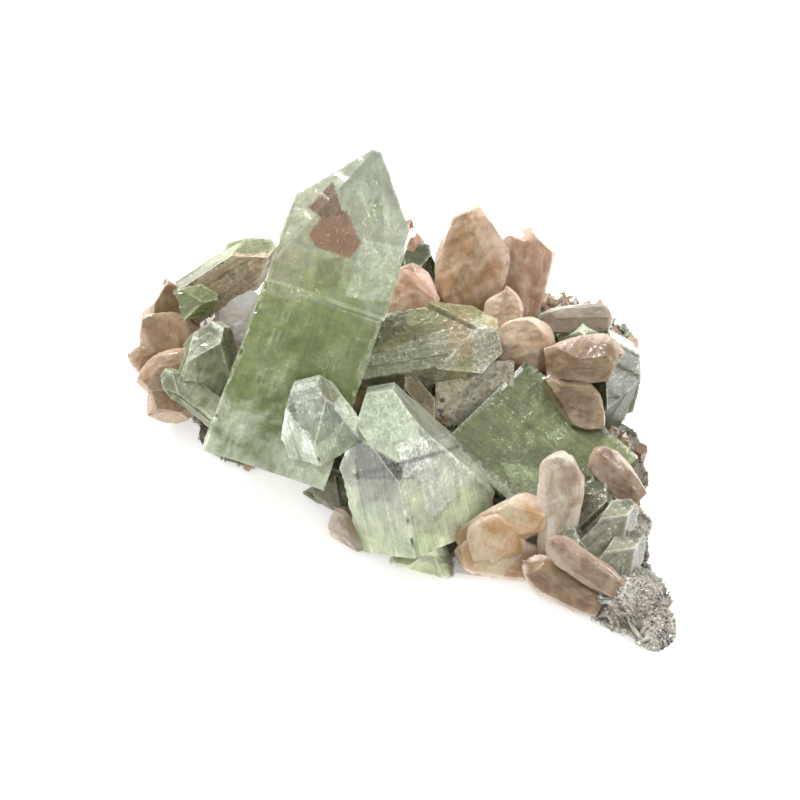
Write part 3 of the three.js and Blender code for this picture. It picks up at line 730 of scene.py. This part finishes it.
def grow_apophyllite(name, node, finish, seed, tip, turns, size, counts,
                     slot="apophyllite_clear", **shape):
    """One crystal stood in its place, and the CAD node, if any, that it stands for. It has its tip,
    its lean, bearing and turn, its width along x and y, length and depth of its flat end, then the
    columns to a side and the rows down the point and down the sides."""
    drawn = apophyllite_grid(*size, seed, *counts, **shape)
    stood = standing(drawn[..., :3], tip, *turns)
    made = closed_skin(name, [stood], finish, APOPHYLLITE_SHARP, [drawn])
    if node:
        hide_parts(node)


tall_green = apophyllite_finish(
    "tall_green", "c2c9b2", "6f7b41", "86905f", (5, 22), 2, density=8, fog=0.86, frost=0.5,
    shards=0.1, spread=(-26, -4), hackle=0.06, root=(33, 45), sectors=[
        ("ccd2bd", 0.5, 0.4, 0.75, (0.35, 0.17, -0.92, 12.29), (-0.35, -0.21, 0.91, -19.63),
         (0.05, 1, 0.06, 1.46)),
        ("9f9c82", 0.7, 0.4, 0.8, (-0.05, -1, -0.08, 4.92), (-0.35, -0.09, 0.93, -21.77)),
        ("6e6e43", 0.8, 0.3, 0.85, (0.33, 0.49, -0.81, 13.25), (-0.04, -0.99, -0.11, 0.73),
         (-0.32, -0.56, 0.76, -15.88), (0.02, 0.99, 0.15, -4.7)),
        ("7b4824", 0.88, 0.12, 0.92, (0.15, 0.96, -0.23, -0.82), (0.33, 0.54, -0.78, 7.22),
         (0.18, -0.74, -0.65, 7.03), (-0.16, -0.95, 0.26, -5.62), (-0.35, -0.02, 0.94, -14.96),
         (-0.22, 0.65, 0.73, -13.55)),
        ("5e3c24", 0.92, 0.12, 0.93, (0.2, 0.91, -0.37, -1.06), (0.15, -0.81, -0.57, 6.93),
         (-0.33, -0.5, 0.8, -7.77), (-0.3, 0.33, 0.89, -11.79))])
grow_apophyllite("tall_crystal", "tall_apophyllite", tall_green, 71,
    (-2.7, 6.8, 42.5), (34, 54, -98), (13, 15.2, 44.6, 0.8), (48, 50, 96), flare=0.12, steep=71)
enclosed_peach = stilbite_finish("enclosed_peach", "a5532b", "bb7446", 15, "b9794f")
grow_stilbite("enclosed_blades", None, enclosed_peach, 61,
    ((-7.6, 1.2, 35.2), 50, 84, -92, 6.2, 1.5, 7.6, 3),
    ((-8.2, 4, 37), 50, 60, -80, 3.4, 1.2, 4.4, 1.6))


# ---- the blunt front crystal
# A thick clear crystal at the front with a broad pearly end, tilted faces beside it that mirror
# the surroundings, and fine upright grooves towards its foot. A dark window on its left is painted
# shade, and white glints on it are painted highlights.
front_clear = apophyllite_finish(
    "front_clear", "d8dfca", "b4bf95", "c8ceb0", (9, 22), 5, end=3, pearl=0.9, density=4, fog=0.75,
    frost=0.45, bands=0.2, glints=0.4, streak=0.9, shards=0.25, spread=(-18, -5), hackle=0.1,
    gloss=0.35, sectors=[
        ("a9b69b", 0.85, 0.3, 0.92, (-0.63, 0.29, 0.72, -9.17), (0.36, -0.54, 0.76, -10.52),
         (0.79, -0.57, -0.25, -1.13)),
        # painted shade: the dark window where the crystal shows its shaded inside
        ("2b2621", 0.94, 0.2, 0.92, (0.63, -0.28, -0.73, 9.35), (0.76, -0.48, -0.44, 5.34),
         (-0.28, -0.08, 0.96, -14.66), (-0.74, 0.66, -0.15, -3.19)),
        ("7c6d5a", 0.65, 0.4, 0.6, (0.23, 0.13, -0.97, 14.58), (0.55, -0.63, 0.55, -9.03),
         (-0.31, -0.06, 0.95, -17.35), (-0.78, 0.62, 0.05, -5.71)),
        # painted glints: a white glittering patch, a bright facet and a second glint
        ("dfe3d8", 0.7, 0.6, 0.7, (0.04, 0.28, -0.96, 11.15), (0.29, -0.51, 0.81, -19.11),
         (-0.78, 0.62, 0.09, 1.06), (-0.61, 0.65, -0.46, 8.79)),
        ("fbfcf9", 1, 0, 0.9, (0.64, -0.29, -0.71, 9.27), (0.53, -0.63, 0.57, -1.54),
         (-0.75, 0.46, 0.48, -10.6)),
        ("f4f6f1", 0.8, 0.8, 0.85, (0.05, 0.28, -0.96, 10.49), (0.76, -0.65, 0.06, -5.26),
         (0.12, -0.4, 0.91, -14.29), (-0.77, 0.64, -0.03, 1.14)),
        ("24221e", 0.8, 0.3, 0.9, (0.11, 0.23, -0.97, 12.7), (-0.1, -0.24, 0.97, -13.3),
         (-0.79, 0.59, 0.17, -8)),
        ("3a3630", 0.7, 0.3, 0.9, (-0.31, 0.52, -0.8, 11.34), (0.73, -0.43, -0.53, 6.25),
         (0.32, -0.52, 0.79, -11.98), (-0.6, 0.24, 0.76, -16.4))])
grow_apophyllite("front_crystal", "front_apophyllite", front_clear, 72,
    (-3.2, -11.9, 21), (37, 109, -134), (16, 11.8, 24.2, 3), (48, 34, 70), off=(-2.8, 0.5),
    flare=-0.05)
small_clear = apophyllite_finish(
    "small_clear", "d3dbc7", "aab68e", "c3ccb2", (6, 14), 9, end=3, pearl=0.5, density=4, fog=0.75,
    frost=0.45, bands=0.2, glints=0.6, shards=0.6, hackle=0.3, gloss=0.4, sectors=[
        ("767a5c", 0.75, 0.5, 0.85, (0.23, -0.28, -0.93, 7.62), (0.06, -0.52, -0.85, 7.16),
         (-0.58, -0.7, 0.41, -7.88), (0.5, 0.87, 0.03, -6.34)),
        ("aeb6a9", 0.85, 0.4, 0.8, (0.35, -0.08, -0.93, 2.26), (-0.55, -0.82, 0.16, -2.52),
         (-0.33, 0.13, 0.94, -7.59), (0.53, 0.84, -0.09, -1.63)),
        ("d9dfd3", 0.9, 0.3, 0.9, (-0.46, -0.88, -0.12, 3.75), (-0.56, -0.47, 0.68, -3.57),
         (0.42, 0.88, 0.21, -7)),
        ("dde2d8", 0.8, 0.4, 0.85, (-0.09, -0.69, -0.72, 7.75), (-0.54, -0.83, 0.13, 0),
         (0.01, 0.6, 0.8, -11.07), (0.56, 0.8, -0.21, -0.43)),
        ("8f7a60", 0.7, 0.3, 0.5, (-0.36, -0.87, -0.34, -1.4), (-0.55, -0.4, 0.74, -6.74),
         (0.37, 0.87, 0.33, -0.71), (0.59, 0.68, -0.44, 3.8))])
grow_apophyllite("small_clear_crystal", "small_clear_apophyllite", small_clear, 73,
    (-13, -13.8, 24), (33, 122, -49), (7.8, 7.8, 12.5, 3), (34, 34, 70))


# ---- the wide green crystal
# A broad, flat-ended crystal lying down to the right, cloudy green almost throughout, with long
# scratches and grooves along it and a scatter of white specks painted as glints.
broad_green = apophyllite_finish(
    "broad_green", "747b53", "525a2e", "6c754a", (9, 23), 12, density=20, fog=0.9, frost=0.8,
    bands=0.2, glints=0.7, streak=0.9, shards=0.2, root=(30, 39), sectors=[
        ("a9b48c", 0.55, 0.5, 0.9, (-0.4, -0.77, -0.5, 14.78), (-0.2, -0.91, 0.37, -8.84),
         (0.4, 0.57, 0.72, -24.82), (0.19, 0.9, -0.39, 4.59))])
grow_apophyllite("broad_crystal", "broad_apophyllite", broad_green, 74,
    (0.1, 4.3, 9.1), (78, 138, -53), (9, 16.6, 36, 16.2), (44, 34, 70), off=(0, -1))


# ---- the middle crystals
# Two crystals lying behind the front ones: one on its side with a shattered end whose glitter
# is painted as white glints, and a stubby smoky one leaning on it.
centre_smoky = apophyllite_finish(
    "centre_smoky", "b0aa7e", "7d8052", "98966c", (2, 14), 16, density=15, frost=0.65, bands=0.2,
    glints=0.8, streak=0.8, hackle=0.4, sectors=[
        ("5c5d3b", 0.85, 0.3, 0.85, (-0.34, 0.94, -0.05, -6.29), (0.19, -0.26, -0.95, 15.3),
         (0.35, -0.86, -0.37, 8.2), (-0.22, 0.36, 0.91, -18.54)),
        ("c6c8b4", 0.7, 0.6, 0.75, (-0.35, 0.92, 0.17, -3.66), (0.32, -0.71, -0.63, 4.03)),
        ("a5835f", 0.6, 0.3, 0.85, (-0.35, 0.89, 0.27, -5.54), (-0.05, 0.38, -0.92, 5.01),
         (0.24, -0.44, -0.87, 5.12), (0.29, -0.89, 0.36, -4.6), (-0.11, 0.03, 0.99, -10.02)),
        # painted glints: white glitter on the shattered end
        ("d3d8cc", 0.85, 0.8, 0.75, (-0.24, 0.79, -0.56, 1.29), (0.17, -0.22, -0.96, 2.96),
         (-0.12, 0.07, 0.99, -6.8))])
grow_apophyllite("centre_crystal", "centre_apophyllite", centre_smoky, 75,
    (16.1, -0.9, 15), (80, 4, -156), (8.6, 9.6, 22, 3), (34, 34, 70), ledge=0.16)
pale_smoky = apophyllite_finish(
    "pale_smoky", "b5a67f", "978960", "ada079", (2, 14), 19, density=10, tint=(0.8, 0.76, 0.6),
    frost=0.7, bands=0.2, glints=0.1, shards=0.8, gloss=0.3)
grow_apophyllite("pale_crystal", "pale_apophyllite", pale_smoky, 76,
    (8.6, -15.7, 18.9), (42, 262, -2), (10.4, 9.4, 22, 13.4), (30, 34, 30))
brown_olive = apophyllite_finish(
    "brown_olive", "9b9172", "7b7252", "8f8563", (0, 8), 45, density=15, tint=(0.7, 0.66, 0.42),
    frost=0.7, glints=0.2)
grow_apophyllite("brown_middle_crystal", "brown_middle_apophyllite", brown_olive, 89,
    (0.7, -5.1, 13.4), (46, 93, -92), (5, 7.4, 10, 1.6), (24, 18, 30))


# ---- the left crystals
# Smaller crystals between the tall one and the fan: a layered one lying back, two greyish ones
# leaning left, and a bright green chip.
left_grey = apophyllite_finish(
    "left_grey", "a9ac92", "8b8f70", "a6a98c", (-3, 6), 23, density=10, frost=0.65, hackle=0.1,
    gloss=0.15)
layered = apophyllite_finish(
    "layered", "999f7a", "8f8768", "9a9d7c", (5, 16), 27, density=10, frost=0.65, bands=0.2,
    streak=1.4, hackle=0.1, gloss=0.2, sectors=[
        # painted light: the +x face is lightened to stand for light falling on it
        ("d6bda6", 0.9, 0.1, 0.9, (1, 0, 0, 1.9))])
chip_green = apophyllite_finish(
    "chip_green", "96a162", "7f8c4c", "97a06c", (0, 8), 29, density=20, frost=0.7, bands=0.2)
grow_apophyllite("rear_left_crystal", "rear_left_apophyllite", layered, 77,
    (-15.6, 12.9, 18), (65, 23, -95), (4.6, 6.2, 16, 1.2), (26, 20, 40))
grow_apophyllite("left_upper_crystal", "left_upper_apophyllite", left_grey, 78,
    (-22.9, 2.6, 14.7), (40, 51, -84), (5.4, 6.4, 13, 1.6), (26, 20, 36))
grow_apophyllite("left_lower_crystal", "left_lower_apophyllite", left_grey, 79,
    (-32.2, -2.1, 9.4), (67, 149, -44), (3.6, 3.8, 13, 1), (20, 16, 36))
grow_apophyllite("green_chip", "green_chip_apophyllite", chip_green, 80,
    (-23.4, 5.4, 14.6), (83, 1, -129), (4.2, 4.2, 5.8, 0.8), (20, 16, 24), "apophyllite_green")


# ---- the rear and right crystals
# Dark green between the rear blades, a greyish green one and a mint chip at the right edge, and
# a stack of small banded ones running down towards the tail.
dark_green = apophyllite_finish(
    "dark_green", "4c5131", "383e22", "494e2f", (0, 9), 33, density=30, frost=0.7, glints=0.2)
rim_green = apophyllite_finish(
    "rim_green", "575c3e", "464d2f", "585c3d", (-3, 8), 35, density=10, fog=0.88, frost=0.8,
    bands=0.25, hackle=0.05, gloss=0.1)
banded_clear = apophyllite_finish(
    "banded_clear", "8f8f7d", "686852", "84846f", (2, 12), 37, fog=0.8, bands=0.8, glints=0.6,
    streak=0.9, hackle=0.1, gloss=0.25)
plate_mint = apophyllite_finish(
    "plate_mint", "b7c2a6", "9aa583", "b2bda0", (1, 8), 47, density=10, hackle=0.1, gloss=0.3)
olive = apophyllite_finish(
    "olive", "85866a", "62633f", "7e7d5c", (0, 8), 39, density=20, tint=(0.68, 0.7, 0.46),
    frost=0.65, glints=0.2)
grow_apophyllite("rear_dark_crystal", "rear_dark_apophyllite", dark_green, 81,
    (3.2, 17.4, 16.6), (36, 70, -57), (6, 6, 15, 2.6), (24, 18, 36), "apophyllite_green")
grow_apophyllite("right_edge_crystal", "right_edge_apophyllite", rim_green, 82,
    (31.5, 1.2, 15.5), (44, 41, -134), (8, 12.6, 15, 3.8), (34, 34, 70), off=(0, -1.1))
grow_apophyllite("mint_chip", None, plate_mint, 90,
    (24.2, -0.7, 15.4), (25, 265, 5), (6.8, 3.4, 6, 0.8), (20, 16, 20))
grow_apophyllite("lower_right_crystal", "lower_right_apophyllite", banded_clear, 83,
    (31, -23.5, 8.5), (63, 37, -102), (4.6, 4.6, 13, 1), (26, 20, 44))
grow_apophyllite("edge_clear_crystal", "edge_clear_apophyllite", banded_clear, 84,
    (31.9, -27.3, 6.5), (63, 37, -102), (4.6, 5, 10, 0.8), (22, 18, 36))
grow_apophyllite("olive_crystal", "olive_apophyllite", olive, 85,
    (26.5, -19.6, 10.1), (36, 73, -76), (6, 6.4, 9, 1.4), (24, 20, 20), "apophyllite_green")
grow_apophyllite("small_green_crystal", "small_green_apophyllite", banded_clear, 86,
    (22.1, -27, 8.3), (35, 90, -60), (3.8, 4.2, 7, 1), (20, 16, 16))


# ---- the crystals under the front
# Roots and broken ends that show below the front crystals: a brownish green one on the left and a
# stack of thin greenish plates under the blunt crystal.
root_green = apophyllite_finish(
    "root_green", "a09a78", "837e5a", "a39f80", (0, 8), 41, density=15, frost=0.65)
plate_green = apophyllite_finish(
    "plate_green", "b4b99c", "9ba07e", "b9bda2", (1, 8), 43, density=10, bands=0.9)
grow_apophyllite("low_green_crystal", "low_green_apophyllite", root_green, 87,
    (-12.3, -14.1, 6), (55, 149, -45), (6, 7, 8, 1.4), (24, 20, 20), "apophyllite_green")
grow_apophyllite("under_front_crystal", "under_front_apophyllite", plate_green, 88,
    (4.5, -24.5, 5.1), (52, 71, -87), (6, 8.4, 7, 1.4), (26, 20, 14))


# ---- floor, light and camera
# A plain pale floor, a bright even room, a large soft lamp above the left rear and a weaker one
# on the right, and the camera looking down at the specimen.
HALF_FLOOR = 3  # metres
floor_mesh = bpy.data.meshes.new("floor")
corners = [(x * HALF_FLOOR, y * HALF_FLOOR, 0) for x, y in ((-1, -1), (1, -1), (1, 1), (-1, 1))]
floor_mesh.from_pydata(corners, [], [(0, 1, 2, 3)])
floor_skin, floor_tree, floor_shader, _ = new_finish("pale_floor")
feed(floor_tree, floor_shader, {"Base Color": (0.93, 0.93, 0.93, 1), "Roughness": 0.9,
                                "Emission Color": (1, 1, 1, 1), "Emission Strength": 0.45})
floor_mesh.materials.append(floor_skin)
floor = shown("floor", floor_mesh)

room = bpy.data.worlds.new("room")
bpy.context.scene.world = room
room.use_nodes = True
sky = room.node_tree
rise = add_node(sky, "SeparateXYZ", {0: add_node(sky, "TexCoord").outputs["Generated"]})
shade = add_node(sky, "MapRange", {"Value": rise.outputs[2], "From Min": 0, "From Max": 0.7,
                                   "To Min": 0.5, "To Max": 0.9})
sky.links.new(shade.outputs[0], sky.nodes["Background"].inputs["Color"])


def soft_lamp(name, place, aim, size, power):
    """A square area lamp at a place in metres, turned towards a point."""
    lamp = bpy.data.lights.new(name, "AREA")
    lamp.size, lamp.energy = size, power
    made = shown(name, lamp)
    back = np.array(place) - np.array(aim)
    made.location = place
    flat = math.hypot(*back[:2])
    made.rotation_euler = (math.atan2(flat, back[2]), 0, math.atan2(back[0], -back[1]))


soft_lamp("rear_lamp", (-0.28, 0.34, 0.5), (0, 0, 0.01), 0.22, 5.5)
soft_lamp("right_lamp", (0.42, -0.1, 0.36), (0, 0, 0.01), 0.2, 1.6)

LIFT = math.radians(50)  # of the camera above the level
AIM = ZERO / METRE
RANGE = 0.5  # metres from the camera to its aim
SHOWN = 0.108  # metres across the picture at the aim
SENSOR = 36  # mm
eye = bpy.data.cameras.new("eye")
eye.sensor_width = SENSOR
eye.lens = SENSOR * RANGE / SHOWN
eye.clip_start, eye.clip_end = 0.01, 10
camera = shown("eye", eye)
camera.location = AIM + RANGE * np.array([0, -math.cos(LIFT), math.sin(LIFT)])
camera.rotation_euler = (math.pi / 2 - LIFT, 0, 0)
bpy.context.scene.camera = camera
bpy.context.scene.view_settings.view_transform = "Standard"
